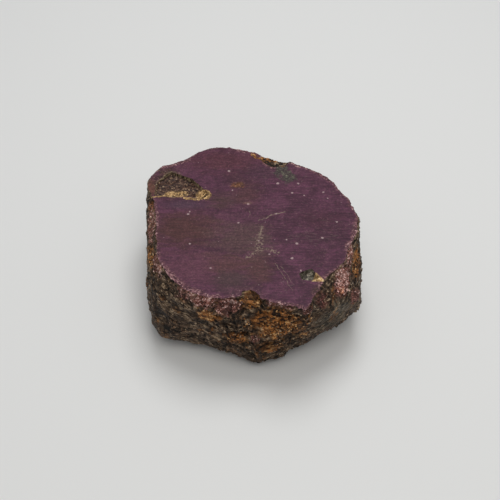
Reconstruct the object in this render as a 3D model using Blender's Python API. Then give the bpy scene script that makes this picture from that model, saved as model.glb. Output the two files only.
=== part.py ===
"""A rough ruby: one thick six-sided crystal, sawn flat across the top, in its natural rind.

Metres, +Z up. The origin is under the middle of the stone, on the surface that it rests on.
The sawn face is level, +Y points away from someone who looks at the stone's front corner,
and the stone rests on a small flat spot in the middle of its rough underside.
"""

import math

import bmesh
import bpy
from mathutils import Matrix, Vector, noise

MM = 0.001
HEIGHT = 22.0  # mm, from the flat spot up to the sawn face

# Outlines of the stone at its own levels, in mm: (x, y, z), anticlockwise seen from above.
# The sawn face: straight crystal sides with worn corners, and chips along the front.
SAWN_RIM = (
    (23.7, -2.6, HEIGHT),
    (23.8, 4.2, HEIGHT),
    (22.8, 7.8, HEIGHT),
    (20.5, 11.5, HEIGHT),
    (18.2, 15.4, HEIGHT),
    (13.8, 18.5, HEIGHT),
    (9.2, 20.7, HEIGHT),
    (5.9, 20.9, HEIGHT),
    (3.2, 22.4, HEIGHT),
    (0.0, 24.7, HEIGHT),
    (-5.5, 26.2, HEIGHT),
    (-9.5, 26.6, HEIGHT),
    (-13.7, 24.7, HEIGHT),
    (-17.5, 21.4, HEIGHT),
    (-22.6, 19.6, HEIGHT),
    (-25.3, 15.7, HEIGHT),
    (-25.6, 12.0, HEIGHT),
    (-23.8, 7.8, HEIGHT),
    (-23.0, 2.8, HEIGHT),
    (-22.0, -9.7, HEIGHT),
    (-19.1, -16.2, HEIGHT),
    (-15.6, -19.7, HEIGHT),
    (-11.4, -21.7, HEIGHT),
    (-7.7, -22.5, HEIGHT),
    (-3.3, -22.0, HEIGHT),
    (-2.3, -20.0, HEIGHT),
    (0.0, -20.4, HEIGHT),
    (2.7, -23.3, HEIGHT),
    (6.2, -24.2, HEIGHT),
    (10.9, -25.7, HEIGHT),
    (12.1, -24.3, HEIGHT),
    (13.9, -20.3, HEIGHT),
    (15.1, -17.4, HEIGHT),
    (18.2, -13.9, HEIGHT),
    (20.4, -11.4, HEIGHT),
    (21.9, -6.1, HEIGHT),
)
# Where the broken bevel under the sawn face ends and the steep sides begin.
SHOULDER = (
    (24.5, 0.0, 19.5),
    (23.9, 4.5, 20.8),
    (20.9, 12.0, 20.8),
    (14.0, 19.3, 20.6),
    (6.2, 21.9, 20.6),
    (0.2, 25.3, 20.6),
    (-9.7, 27.1, 20.6),
    (-17.8, 22.0, 20.6),
    (-23.2, 20.0, 20.8),
    (-26.0, 15.0, 20.6),
    (-25.6, 8.0, 19.6),
    (-25.1, 0.0, 19.0),
    (-24.3, -10.5, 18.4),
    (-21.8, -16.4, 18.0),
    (-16.4, -20.6, 18.6),
    (-11.0, -23.2, 18.2),
    (-3.4, -24.9, 18.0),
    (-2.4, -23.9, 17.6),
    (0.6, -23.6, 18.0),
    (2.8, -24.4, 19.2),
    (7.4, -25.2, 20.2),
    (11.4, -25.9, 20.8),
    (13.4, -23.8, 19.2),
    (18.4, -20.3, 17.0),
    (24.2, -15.4, 13.8),
    (24.6, -9.0, 16.4),
)
# The widest part of the steep sides.
BELLY = (
    (24.8, -1.0, 10.5),
    (23.8, 8.0, 11.0),
    (21.8, 14.4, 12.5),
    (12.0, 20.8, 11.0),
    (-8.6, 27.9, 10.5),
    (-12.5, 26.6, 12.0),
    (-24.6, 19.8, 11.0),
    (-26.3, 14.6, 11.0),
    (-25.7, 3.0, 10.5),
    (-25.1, -6.0, 10.0),
    (-24.9, -13.4, 9.5),
    (-23.4, -18.4, 9.0),
    (-19.0, -21.6, 9.0),
    (-12.6, -22.4, 9.5),
    (-7.0, -24.4, 9.5),
    (0.6, -27.3, 9.0),
    (7.0, -25.6, 9.5),
    (14.0, -22.4, 9.5),
    (20.0, -18.6, 9.5),
    (24.8, -14.0, 9.5),
)
# The lower edge, where the underside turns in.
LOWER_EDGE = (
    (24.9, -1.5, 7.5),
    (23.6, 8.0, 6.5),
    (20.2, 13.6, 5.5),
    (9.5, 19.6, 4.0),
    (-2.0, 24.4, 5.5),
    (-9.0, 26.2, 6.5),
    (-15.5, 21.8, 4.5),
    (-22.8, 18.6, 6.0),
    (-25.4, 12.0, 7.0),
    (-25.0, -4.0, 6.0),
    (-24.8, -12.0, 5.6),
    (-24.0, -16.6, 5.4),
    (-21.6, -19.7, 5.0),
    (-18.8, -20.9, 4.6),
    (-15.4, -20.4, 4.2),
    (-12.3, -20.6, 3.6),
    (-8.2, -22.3, 3.0),
    (-3.0, -24.5, 2.6),
    (0.9, -25.7, 2.4),
    (4.5, -24.6, 2.6),
    (12.5, -20.4, 3.6),
    (17.5, -17.4, 4.6),
    (22.4, -14.6, 5.6),
    (24.8, -12.6, 6.4),
)
# The flat spot that the stone rests on.
FLAT_SPOT = (
    (14.5, -1.0, 0.0),
    (11.5, 7.5, 0.0),
    (2.0, 12.5, 0.0),
    (-8.0, 12.0, 0.0),
    (-14.5, 6.0, 0.0),
    (-15.0, -4.0, 0.0),
    (-9.0, -11.5, 0.0),
    (1.0, -14.0, 0.0),
    (10.0, -10.0, 0.0),
)
AXIS = Vector((-0.5, -0.5, 0.0))  # mm: every outline is seen whole from this line
MIDDLE = Vector((-0.565, 0.345, 0.0))  # mm: the middle of the finished stone, which becomes the origin
ALLOWANCE = 1.0  # mm of stone beyond the sawn face and the flat spot, which two level cuts take off
CUT_SIZE = 80.0

# The loft is made fine, and then thinned to flat chips of stone where the form allows it.
COLUMNS = 300
BEVEL_ROWS = 6  # rows of faces from one outline to the next
FLANK_ROWS = 18
SKIRT_ROWS = 10
UNDERSIDE_ROWS = 14
KEPT_SHARE = 0.24

# The rind's relief, in mm.
LUMP_SIZE = 7.0
LUMP_HEIGHT = 0.5
GRAIN_SIZE = 2.2
GRAIN_HEIGHT = 0.3
LEDGE_PITCH = 3.6  # mica layers wrap the crystal, and break off in steps
LEDGE_DEPTH = 1.0
LEDGE_WAVE = 5.5
LEDGE_BEND = 15.0  # how far a ledge runs before it turns
LEDGE_PATCH = 8.0  # how far a ledge runs before it fades
RIM_WAVE = 0.18

# Hollows in the sawn face, in mm: corners of the mouth, each with the floor's depth there,
# and the floor's share of the mouth.
# A triangular pit where a grain has fallen out of the stone.
GRAIN_PIT = (((9.4, -15.0, 1.4), (10.2, -17.6, 1.5), (15.4, -17.6, 0.7), (13.0, -12.9, 1.2)), 0.5)
# A dark mica inclusion, worn lower than the ruby, that runs in from the left corner.
MICA_RECESS = (
    (
        (-20.5, 18.0, 0.9),
        (-23.9, 14.5, 0.5),
        (-24.6, 9.0, 0.4),
        (-10.9, 8.3, 0.35),
        (-10.8, 10.4, 1.0),
        (-14.6, 15.0, 1.3),
    ),
    0.86,
)
# A chip in the far rim with a stained floor.
FAR_CHIP = (
    ((1.4, 21.4, 0.5), (4.4, 19.0, 0.5), (7.6, 19.4, 0.5), (10.5, 24.0, 1.3), (2.0, 26.5, 1.3)),
    0.92,
)
# A chip in the near rim, where rusty rind reaches into the ruby.
NEAR_CHIP = (
    ((-2.9, -21.4, 1.8), (-3.0, -27.0, 3.4), (3.2, -27.0, 3.2), (1.4, -21.9, 1.6), (-1.0, -19.4, 1.2)),
    0.86,
)

RUBY_COLOUR = (0.085, 0.034, 0.052, 1.0)
RUBY_ROUGHNESS = 0.5


def clear_scene():
    for obj in list(bpy.data.objects):
        bpy.data.objects.remove(obj)


def new_collection(name):
    collection = bpy.data.collections.new(name)
    bpy.context.scene.collection.children.link(collection)
    return collection


def point_at(outline, angle):
    """Where the half-plane at this angle round AXIS meets the outline."""
    direction = Vector((math.cos(angle), math.sin(angle), 0.0))
    across = Vector((-direction.y, direction.x, 0.0))
    for start, end in zip(outline, outline[1:] + outline[:1]):
        a, b = Vector(start) - AXIS, Vector(end) - AXIS
        side_a, side_b = a.dot(across), b.dot(across)
        if side_a <= 0.0 < side_b:
            meeting = a.lerp(b, side_a / (side_a - side_b))
            if meeting.dot(direction) > 0.0:
                return meeting + AXIS
    raise ValueError("an outline doesn't go round the axis")


def rows_of_column(angle):
    """The points of one column, from above the sawn rim down to below the flat spot."""
    beyond = Vector((0.0, 0.0, ALLOWANCE))
    stops = [point_at(o, angle) for o in (SAWN_RIM, SHOULDER, BELLY, LOWER_EDGE, FLAT_SPOT)]
    counts = (BEVEL_ROWS, FLANK_ROWS, SKIRT_ROWS, UNDERSIDE_ROWS)
    points = [stops[0] + beyond, stops[0]]
    for upper, lower, count in zip(stops, stops[1:], counts):
        points += [upper.lerp(lower, (row + 1) / count) for row in range(count)]
    return points + [stops[-1] - beyond]


def ledge(point):
    """How far a broken mica layer stands out here: a ramp that grows downwards, then a step."""
    wave = noise.noise(point / LEDGE_BEND) * LEDGE_WAVE
    phase = ((HEIGHT - point.z + wave) / LEDGE_PITCH) % 1.0
    strength = 2.5 * noise.noise(point / LEDGE_PATCH + Vector((0.0, 5.0, 9.0))) + 0.4
    return (phase - 0.5) * LEDGE_DEPTH * max(0.0, min(1.0, strength))


def rind_relief(point):
    lumps = noise.fractal(point / LUMP_SIZE, 1.0, 2.0, 3) * LUMP_HEIGHT
    grains = noise.noise(point / GRAIN_SIZE + Vector((7.0, 3.0, 1.0))) * GRAIN_HEIGHT
    return lumps + grains + ledge(point)


def build_blank():
    """The stone without its hollows: a loft through the outlines, roughened below the rim."""
    shape = bmesh.new()
    columns = [rows_of_column(2.0 * math.pi * i / COLUMNS) for i in range(COLUMNS)]
    last = len(columns[0]) - 1
    verts = [[shape.verts.new(point) for point in column] for column in columns]
    for i in range(COLUMNS):
        here, there = verts[i], verts[(i + 1) % COLUMNS]
        for row in range(last):
            shape.faces.new((here[row], here[row + 1], there[row + 1], there[row]))
    shape.faces.new([column[0] for column in verts])
    shape.faces.new([column[last] for column in reversed(verts)])
    shape.normal_update()
    moves = {}
    for column in verts:
        rim_wave = noise.noise(column[1].co / GRAIN_SIZE) * RIM_WAVE
        for row, vert in enumerate(column):
            if row < 2:
                moves[vert] = Vector((vert.co.x, vert.co.y, 0.0)).normalized() * rim_wave
            elif row < last - 1:
                moves[vert] = vert.normal * rind_relief(vert.co)
    for vert, move in moves.items():
        vert.co += move
        if move.z:
            vert.co.z = min(max(vert.co.z, 0.2), HEIGHT - 0.2)
    return shape


def object_from(shape, name, collection):
    """Turns a shape in millimetres into an object in metres, about the stone's own middle."""
    bmesh.ops.translate(shape, vec=-MIDDLE, verts=shape.verts)
    bmesh.ops.scale(shape, vec=(MM, MM, MM), verts=shape.verts)
    mesh = bpy.data.meshes.new(name)
    shape.to_mesh(mesh)
    shape.free()
    obj = bpy.data.objects.new(name, mesh)
    collection.objects.link(obj)
    return obj


def cutter_from(shape, name, collection):
    bmesh.ops.recalc_face_normals(shape, faces=shape.faces)
    cutter = object_from(shape, name, collection)
    cutter.hide_render = True
    cutter.display_type = "WIRE"
    return cutter


def level_cutter(name, level, direction, collection):
    """A slab that takes off all that lies above a level (direction 1) or below it (-1)."""
    shape = bmesh.new()
    thickness = 5.0 * ALLOWANCE
    centre = Vector((0.0, 0.0, level + direction * thickness / 2.0))
    matrix = Matrix.LocRotScale(centre, None, (CUT_SIZE, CUT_SIZE, thickness))
    bmesh.ops.create_cube(shape, size=1.0, matrix=matrix)
    return cutter_from(shape, name, collection)


def hollow_cutter(name, hollow, collection):
    """A plug that stands out of the sawn face and narrows downwards to the hollow's floor."""
    corners, floor_share = hollow
    shape = bmesh.new()
    clearance = 1.0
    mouth = [shape.verts.new((x, y, HEIGHT + clearance)) for x, y, depth in corners]
    top = shape.faces.new(mouth)
    bottom = bmesh.ops.extrude_face_region(shape, geom=[top])["geom"]
    floor = [item for item in bottom if isinstance(item, bmesh.types.BMVert)]
    middle = sum((vert.co for vert in floor), Vector()) / len(floor)
    for vert in floor:
        above = min(corners, key=lambda corner: (vert.co - Vector(corner)).xy.length)
        vert.co = middle.lerp(vert.co, floor_share)
        vert.co.z = HEIGHT - above[2]
    return cutter_from(shape, name, collection)


def ruby_material():
    material = bpy.data.materials.new("rough_ruby")
    material.use_nodes = True
    shader = material.node_tree.nodes["Principled BSDF"]
    shader.inputs["Base Color"].default_value = RUBY_COLOUR
    shader.inputs["Roughness"].default_value = RUBY_ROUGHNESS
    shader.inputs["Metallic"].default_value = 0.0
    return material


def main():
    clear_scene()
    stone_parts = new_collection("rough ruby")
    cutters = new_collection("cutters")
    stone = object_from(build_blank(), "rough_ruby", stone_parts)
    stone.data.materials.append(ruby_material())
    thin = stone.modifiers.new("thin", "DECIMATE")
    thin.ratio = KEPT_SHARE
    tools = [
        level_cutter("saw_cut", HEIGHT, 1, cutters),
        level_cutter("rest_cut", 0.0, -1, cutters),
        hollow_cutter("grain_pit", GRAIN_PIT, cutters),
        hollow_cutter("mica_recess", MICA_RECESS, cutters),
        hollow_cutter("far_chip", FAR_CHIP, cutters),
        hollow_cutter("near_chip", NEAR_CHIP, cutters),
    ]
    for tool in tools:
        cut = stone.modifiers.new(tool.name, "BOOLEAN")
        cut.operation = "DIFFERENCE"
        cut.solver = "EXACT"
        cut.object = tool


if __name__ == "__main__":
    main()
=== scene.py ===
"""The looks of the rough ruby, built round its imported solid: the broken mica rind, the grains
that stand out of it, the sawn face with its veins and cracks, and a plain stage.

Blender works in metres here. Lengths named in millimetres end in _MM or say so beside them.
The row frame is the solid's own: the stone rests on z = 0, its sawn face is level, and -Y
points towards its front corner.
"""

import math
from functools import reduce

import bmesh
import bpy
import numpy as np
from bpy.props import FloatProperty, FloatVectorProperty, IntProperty, PointerProperty
from mathutils import Matrix, Vector, noise
from mathutils.geometry import delaunay_2d_cdt
from mathutils.kdtree import KDTree


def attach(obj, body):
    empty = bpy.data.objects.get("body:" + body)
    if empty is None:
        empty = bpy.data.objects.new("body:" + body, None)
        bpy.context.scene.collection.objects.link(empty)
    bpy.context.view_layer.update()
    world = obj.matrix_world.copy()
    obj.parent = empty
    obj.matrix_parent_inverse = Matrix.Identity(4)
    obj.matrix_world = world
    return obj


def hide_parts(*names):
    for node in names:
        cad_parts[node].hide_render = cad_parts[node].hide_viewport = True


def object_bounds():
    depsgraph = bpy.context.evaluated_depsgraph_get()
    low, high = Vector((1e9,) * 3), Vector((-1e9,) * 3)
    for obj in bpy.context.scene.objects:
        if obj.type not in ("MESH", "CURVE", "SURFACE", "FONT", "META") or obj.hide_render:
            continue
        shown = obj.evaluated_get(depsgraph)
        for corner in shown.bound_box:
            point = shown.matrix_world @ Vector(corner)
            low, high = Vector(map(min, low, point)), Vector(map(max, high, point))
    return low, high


bl_info = {
    "name": "Rough ruby",
    "version": (1, 0, 0),
    "blender": (4, 5, 0),
    "location": "3D View > Sidebar > Rough ruby",
    "description": "Builds the rind, grains and sawn face of a rough ruby round its packed solid",
    "category": "Object",
}

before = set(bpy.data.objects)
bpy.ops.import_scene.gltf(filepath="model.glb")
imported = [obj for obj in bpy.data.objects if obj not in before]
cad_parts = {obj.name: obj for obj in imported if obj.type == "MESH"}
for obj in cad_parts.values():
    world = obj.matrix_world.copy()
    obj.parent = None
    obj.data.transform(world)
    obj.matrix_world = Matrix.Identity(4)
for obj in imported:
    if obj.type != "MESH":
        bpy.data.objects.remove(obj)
CAD_LOW, CAD_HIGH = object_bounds()
MM = 0.001
HEIGHT_MM = CAD_HIGH.z / MM

# Places on the stone, in mm in the row frame. A patch is (centre, half sizes, strength), and
# each zone of the rind is a list of them.
PATCHES = {
    "pink": (
        ((-14.6, -20.6, 21.0), (4.8, 1.9, 2.0), 0.75),
        ((-10.4, -22.1, 21.0), (4.4, 2.1, 2.4), 1.0),
        ((-5.4, -23.2, 19.9), (3.1, 2.4, 3.0), 1.0),
        ((6.5, -24.2, 21.9), (6.4, 1.8, 0.9), 0.9),
        ((11.8, -25.2, 21.2), (1.6, 1.6, 1.4), 0.9),
        ((20.6, -15.6, 19.4), (2.8, 4.6, 3.2), 1.0),
        ((22.6, -9.8, 21.2), (1.8, 4.4, 1.6), 0.85),
        ((23.9, -16.4, 14.6), (2.2, 2.4, 2.2), 0.95),
        ((-23.9, 0.5, 20.8), (1.9, 7.8, 1.9), 0.6),
        ((-21.4, -12.0, 20.8), (2.6, 4.4, 1.8), 0.65),
        ((0.7, -26.1, 11.6), (1.3, 1.4, 1.1), 0.7),
        ((-5.0, 26.0, 18.5), (6.0, 3.0, 3.5), 0.7),
        ((16.0, 17.5, 13.0), (5.0, 4.0, 4.0), 0.75),
        ((-25.0, 6.0, 10.0), (3.0, 5.0, 3.0), 0.7),
        ((-13.0, -2.0, 2.5), (9.0, 4.0, 3.0), 0.5),
    ),
    "rust": (
        ((5.4, -25.0, 16.8), (6.8, 3.4, 5.2), 1.0),
        ((0.2, -21.8, 20.4), (3.0, 2.4, 2.4), 0.9),
        ((-9.9, -23.3, 16.7), (3.8, 2.5, 1.9), 1.0),
        ((-3.4, -25.7, 11.6), (2.8, 2.4, 2.0), 0.9),
        ((11.2, -24.7, 11.4), (1.7, 1.9, 1.4), 0.95),
        ((4.3, -26.8, 9.4), (3.2, 2.2, 2.0), 0.85),
        ((24.0, -9.8, 18.4), (1.9, 4.8, 2.8), 1.0),
        ((-23.4, -8.5, 20.0), (1.6, 3.8, 1.6), 0.7),
        ((-24.0, 6.3, 21.2), (1.4, 1.7, 1.4), 0.9),
        ((4.9, 22.2, 21.3), (3.8, 1.8, 1.4), 1.0),
        ((-14.0, 24.0, 11.0), (5.0, 4.0, 2.4), 0.9),
        ((7.0, 22.5, 8.0), (5.5, 4.0, 2.6), 0.9),
        ((-25.5, -8.0, 12.0), (2.0, 4.0, 2.0), 0.8),
        ((10.0, 8.0, 1.5), (9.0, 4.0, 2.0), 0.6),
    ),
    "olive": (
        ((18.2, -20.6, 13.5), (7.4, 5.0, 4.8), 1.0),
        ((0.5, 24.0, 13.0), (5.0, 4.0, 6.0), 0.9),
        ((24.0, 10.0, 8.0), (3.0, 6.0, 4.0), 0.9),
    ),
    # Black mica. The patch in the front rim's notch is also painted shade of that hollow.
    "black_mica_and_notch_shade": (
        ((-20.8, -19.0, 12.6), (2.0, 1.8, 1.5), 0.9),
        ((0.0, -21.3, 20.9), (2.2, 1.2, 1.3), 0.85),
        ((13.8, -22.8, 18.8), (1.8, 1.6, 1.2), 0.6),
        ((-20.0, 22.0, 8.0), (3.5, 3.0, 3.0), 0.8),
    ),
}
INCLUSION = ((-18.0, 12.4, 22.0), (8.2, 5.6, 2.4))  # the dark mica inclusion in the sawn face
GRAIN_PIT = ((12.6, -15.6, 22.0), (3.4, 3.0, 2.6))  # the triangular pit
FAR_CHIP = ((6.0, 22.8, 22.0), (6.4, 5.0, 3.0))
CHIP_FILL = 0.65  # the share of the far chip's depth that its stained crust fills


# Settings


def length(name, description, default_mm, min_mm=0.0, max_mm=100.0):
    """A setting that is a length, given here in mm."""
    return FloatProperty(
        name=name,
        description=description,
        default=default_mm * MM,
        min=min_mm * MM,
        max=max_mm * MM,
        unit="LENGTH",
        precision=5,
    )


def amount(name, description, default, unit="NONE"):
    return FloatProperty(name=name, description=description, default=default, min=0.0, unit=unit)


def colour_setting(name, description, default):
    """A setting that is a colour, as linear light."""
    return FloatVectorProperty(
        name=name, description=description, subtype="COLOR", default=default, min=0.0, max=1.0
    )


class StoneSettings(bpy.types.PropertyGroup):
    """Sizes of the stone's fine form."""

    detail: length("Detail", "Edge length of the finest faces on the rind", 0.295, 0.15, 1.0)
    block_size: length("Block size", "Width of the broken blocks of the rind", 2.1, 0.5)
    block_height: length("Block height", "How far the broken blocks differ in height", 0.36)
    layer_pitch: length(
        "Layer pitch", "Thickness of the mica layers that wrap the crystal", 1.1, 0.2
    )
    layer_height: length("Layer height", "How far the mica layers stand out of each other", 0.42)
    grain_height: length("Grain height", "Depth of the rind's finest roughness", 0.16)
    pore_depth: length("Pore depth", "Depth of the dark hollows between the blocks", 0.55)


class GrainSettings(bpy.types.PropertyGroup):
    """How many loose-looking grains stand out of the rind, and how large they are."""

    flakes_per_cm2: amount(
        "Mica flakes per cm2", "Flakes of mica on each square centimetre of rind", 90.0
    )
    flake_size: length("Flake size", "Width of the largest mica flakes", 0.95, 0.2)
    grains_per_cm2: amount(
        "Ruby grains per cm2",
        "Grains of ruby on each square centimetre of the pink patches",
        260.0,
    )
    grain_size: length("Ruby grain size", "Width of the largest ruby grains", 0.62, 0.2)
    crumbs_per_cm2: amount(
        "Rust crumbs per cm2",
        "Iron-stained crumbs on each square centimetre of the rusty patches",
        170.0,
    )
    crumb_size: length("Rust crumb size", "Width of the largest iron-stained crumbs", 0.85, 0.2)
    seed: IntProperty(
        name="Seed", description="Picks one arrangement of the grains", default=7, min=0
    )


class ColourSettings(bpy.types.PropertyGroup):
    """Colours of the stone, as linear light."""

    ruby: colour_setting("Ruby", "Opaque purple-red ruby of the sawn face", (0.086, 0.028, 0.053))
    pink: colour_setting(
        "Broken ruby", "Pink sparkle of freshly broken ruby grains", (0.42, 0.158, 0.122)
    )
    mica: colour_setting("Mica", "Dark grey-brown mica of the rind", (0.072, 0.042, 0.024))
    rust: colour_setting("Rust", "Ochre and orange iron stains", (0.42, 0.150, 0.030))
    gold: colour_setting(
        "Golden vein", "Golden-brown vein beside the mica inclusion", (0.42, 0.25, 0.105)
    )


class StageSettings(bpy.types.PropertyGroup):
    """The floor, the lights and the camera."""

    floor: colour_setting("Floor", "Colour of the pale floor", (0.80, 0.80, 0.79))
    key_power: amount(
        "Key light", "Power of the large soft light overhead, behind the stone", 0.80, "POWER"
    )
    fill_power: amount("Fill light", "Power of the soft light near the camera", 0.46, "POWER")
    sky: amount("Sky", "Strength of the even light from all round", 0.28)


# Helpers for meshes and node trees


def new_object(data, name):
    obj = bpy.data.objects.new(name, data)
    bpy.context.scene.collection.objects.link(obj)
    return obj


def evaluated_mesh(obj):
    """The object with its modifiers, as a plain mesh."""
    return bpy.data.meshes.new_from_object(
        obj.evaluated_get(bpy.context.evaluated_depsgraph_get())
    )


def opaque(colour):
    return (*colour[:3], 1.0)


def scaled(colour, factor):
    return tuple(min(1.0, channel * factor) for channel in colour)


def blended(first, second, share):
    return tuple(a + (b - a) * share for a, b in zip(first, second))


def set_inputs(tree, node, values):
    """Fills a node's inputs, each from a socket to link from or from a plain value."""
    for name, value in values.items():
        socket = node.inputs[name]
        if isinstance(value, bpy.types.NodeSocket):
            tree.links.new(value, socket)
        elif socket.type == "RGBA":
            socket.default_value = opaque(value)
        else:
            socket.default_value = value


def add_node(tree, kind, inputs=None, **settings):
    made = tree.nodes.new(kind)
    for name, value in settings.items():
        setattr(made, name, value)
    set_inputs(tree, made, inputs or {})
    return made


def math_node(tree, operation, first, second=0.0, clamp=False):
    made = add_node(
        tree, "ShaderNodeMath", {0: first, 1: second}, operation=operation, use_clamp=clamp
    )
    return made.outputs[0]


def add(tree, *values):
    return reduce(lambda first, second: math_node(tree, "ADD", first, second), values)


def times(tree, first, second):
    return math_node(tree, "MULTIPLY", first, second)


def minus(tree, first, second):
    return math_node(tree, "SUBTRACT", first, second)


def less(tree, value):
    """1 minus the value."""
    return minus(tree, 1.0, value)


def strongest(tree, masks):
    return reduce(lambda first, second: math_node(tree, "MAXIMUM", first, second), masks)


def vector_math(tree, operation, first, second=(0.0, 0.0, 0.0)):
    made = add_node(tree, "ShaderNodeVectorMath", {0: first, 1: second}, operation=operation)
    return made.outputs["Vector"]


def vector_value(tree, operation, first, second=(0.0, 0.0, 0.0)):
    """A length, distance or dot product."""
    made = add_node(tree, "ShaderNodeVectorMath", {0: first, 1: second}, operation=operation)
    return made.outputs["Value"]


def stretched(tree, vector, factor):
    made = add_node(tree, "ShaderNodeVectorMath", {0: vector, "Scale": factor}, operation="SCALE")
    return made.outputs["Vector"]


def axis_of(tree, vector, axis):
    return add_node(tree, "ShaderNodeSeparateXYZ", {0: vector}).outputs[axis]


def ramp_between(tree, value, low, high):
    """0 below low, 1 above high, smooth between."""
    made = add_node(
        tree,
        "ShaderNodeMapRange",
        {"Value": value, "From Min": low, "From Max": high},
        interpolation_type="SMOOTHSTEP",
    )
    return made.outputs["Result"]


def spread(tree, value, low, high, to_low, to_high):
    """Carries low..high over to to_low..to_high, straight between and held beyond."""
    made = add_node(
        tree,
        "ShaderNodeMapRange",
        {"Value": value, "From Min": low, "From Max": high, "To Min": to_low, "To Max": to_high},
    )
    return made.outputs["Result"]


def noise_value(tree, vector, scale, detail=2.0, distortion=0.0, roughness=0.5):
    made = add_node(tree, "ShaderNodeTexNoise", {
        "Vector": vector,
        "Scale": scale,
        "Detail": detail,
        "Roughness": roughness,
        "Distortion": distortion,
    })
    return made.outputs["Fac"]


def mix_colour(tree, factor, first, second, blend="MIX"):
    """Lays the second colour over the first, as strongly as the factor says."""
    values = {0: factor, 6: first, 7: second}
    made = add_node(tree, "ShaderNodeMix", values, data_type="RGBA", blend_type=blend)
    return made.outputs[2]


def multiplied(tree, colour, factor):
    return mix_colour(tree, 1.0, colour, factor, "MULTIPLY")


def new_group(name, inputs, outputs):
    """A shader node group. Each input's default also says its kind: number, vector or colour."""
    group = bpy.data.node_groups.new(name, "ShaderNodeTree")
    for label, default in inputs.items():
        kind = "Float" if isinstance(default, float) else {3: "Vector", 4: "Color"}[len(default)]
        socket = group.interface.new_socket(
            label, in_out="INPUT", socket_type="NodeSocket" + kind
        )
        socket.default_value = default
    for label, kind in outputs.items():
        group.interface.new_socket(label, in_out="OUTPUT", socket_type="NodeSocket" + kind)
    given = group.nodes.new("NodeGroupInput")
    result = group.nodes.new("NodeGroupOutput")
    return group, given.outputs, result.inputs


def use_group(tree, group, inputs):
    return add_node(tree, "ShaderNodeGroup", inputs, node_tree=group).outputs


# The stone's fine form

PATCH_EDGE = 0.35  # how far inside its outline a patch is at full strength, in half sizes
SAW_RISE = 0.85  # the share of each mica step that rises, before it breaks off
ALL_TRIANGLES = 0  # the kind of output of the triangulation that keeps them all
RIND, SAWN, HOLLOW = 0, 1, 2  # the stone's materials, in order
SAWN_PITCH_MM = 0.8  # between the points of the sawn face's mesh
ROW_SHARE = 0.866  # of that pitch, between its rows, which gives even triangles
LEVEL_GAP_MM = 0.001  # a point this near the sawn face's level lies on it
LIFT_MM = 1.5  # how far the sawn face is raised before the stone is weathered and sawn
REST_BAND_MM = 0.3  # the flat spot's points lie below this
LOWEST_RIND_MM = 0.05  # no other point lies lower than this
HOLLOW_RELIEF = 0.8  # the share of the relief that is left in the two hollows
HOLLOW_DEPTH_MM = 2.4  # how far down the hollows' own material reaches


def squares_away(point, centre, half):
    """The square of a point's distance from a patch's centre, counted in half sizes."""
    x = (point[0] - centre[0]) / half[0]
    y = (point[1] - centre[1]) / half[1]
    z = (point[2] - centre[2]) / half[2]
    return x * x + y * y + z * z


def in_hollow(point):
    """Whether a point lies in the inclusion's recess or in the triangular pit."""
    return any(squares_away(point, *hollow) < 1.0 for hollow in (INCLUSION, GRAIN_PIT))


def patch_strength(point, patches):
    """How far a point lies inside any of the patches, from 0 to 1, with ragged edges.

    The raggedness has waves of about 1.5 and 0.55 mm.
    """
    ragged = 0.34 * noise.noise(point / 1.5) + 0.2 * noise.noise(point / 0.55)
    best = 0.0
    for centre, half, strength in patches:
        inside = 1.0 - math.sqrt(squares_away(point, centre, half)) + ragged
        best = max(best, min(1.0, inside / PATCH_EDGE) * strength)
    return best


def layer_level(point):
    """Height across the mica layers. They wrap the stone and rise with its lower edge."""
    bend = 1.1 * noise.noise(point / 9.0) + 0.35 * noise.noise(point / 3.0)
    return point.z - 0.22 * abs(point.x - 1.5) + bend


def sawtooth(value):
    """Rises over most of each whole number, and then breaks off."""
    share = value - math.floor(value)
    return share if share < SAW_RISE else (1.0 - share) / (1.0 - SAW_RISE) * SAW_RISE


def share_of(value, low, high):
    """0 at low, 1 at high, straight between."""
    return min(1.0, max(0.0, (value - low) / (high - low)))


def prominence(point):
    """How rough the rind is: most at the front corner, least along the worn sides and back.

    It is also smoother towards the lower edge.
    """
    front = share_of(-point.y, 16.0, 23.0) * share_of(13.0 - abs(point.x - 2.0), 0.0, 5.0)
    return (0.4 + 0.55 * front) * (0.55 + 0.45 * share_of(point.z, 2.0, 8.0))


class Rind:
    """The rind's relief over the smooth solid, in mm."""

    def __init__(self, settings):
        for name in settings.__annotations__:
            setattr(self, name, getattr(settings, name) / MM)

    def blocks(self, point, size):
        """Broken blocks: each cell has its own height and its own tilt."""
        warped = point / size
        warped = warped + Vector((0.0, 0.0, 0.35)) * noise.noise(warped * 1.7)
        warped.z *= 1.5
        distances, centres = noise.voronoi(warped)
        cell = cell_vector(centres[0])
        tilt = cell.dot(warped - centres[0]) * 0.9
        groove = min(1.0, (distances[1] - distances[0]) / 0.16)
        return (cell.x * 0.6 + tilt - (1.0 - groove) * 0.5) * self.block_height

    def layers(self, point, level):
        """Steps of the mica layers, with finer ones between."""
        along = noise.noise(Vector((point.x / 3.2, point.y / 3.2, level / 0.6)))
        step = sawtooth(level / self.layer_pitch + 0.6 * along) - 0.5
        fine = sawtooth(level / self.layer_pitch * 2.7 + 1.1 * along) - 0.5
        return (0.8 * step + 0.25 * fine + 0.5 * along) * self.layer_height

    def grains(self, point):
        return (noise.noise(point / 0.9) + 0.7 * noise.noise(point / 0.5)) * self.grain_height

    def pores(self, point):
        hollow = noise.noise(point / 2.3 + Vector((4.0, 8.0, 2.0)))
        return -min(1.0, max(0.0, hollow - 0.28) * 3.0) * self.pore_depth

    def relief(self, point, level, pink, olive):
        """Broken ruby is blocky, the olive facet is finely layered, and the rest is both."""
        rough = 1.0 - 0.75 * olive
        height = self.blocks(point, self.block_size) * rough
        height += 0.5 * self.blocks(point * 1.01, self.block_size * 0.42) * rough
        height += self.layers(point, level) * (1.0 - 0.7 * pink) * (1.0 - 0.45 * olive)
        height += self.grains(point) * rough
        height += self.pores(point) * rough * (1.0 - 0.4 * pink)
        return height * prominence(point)


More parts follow.
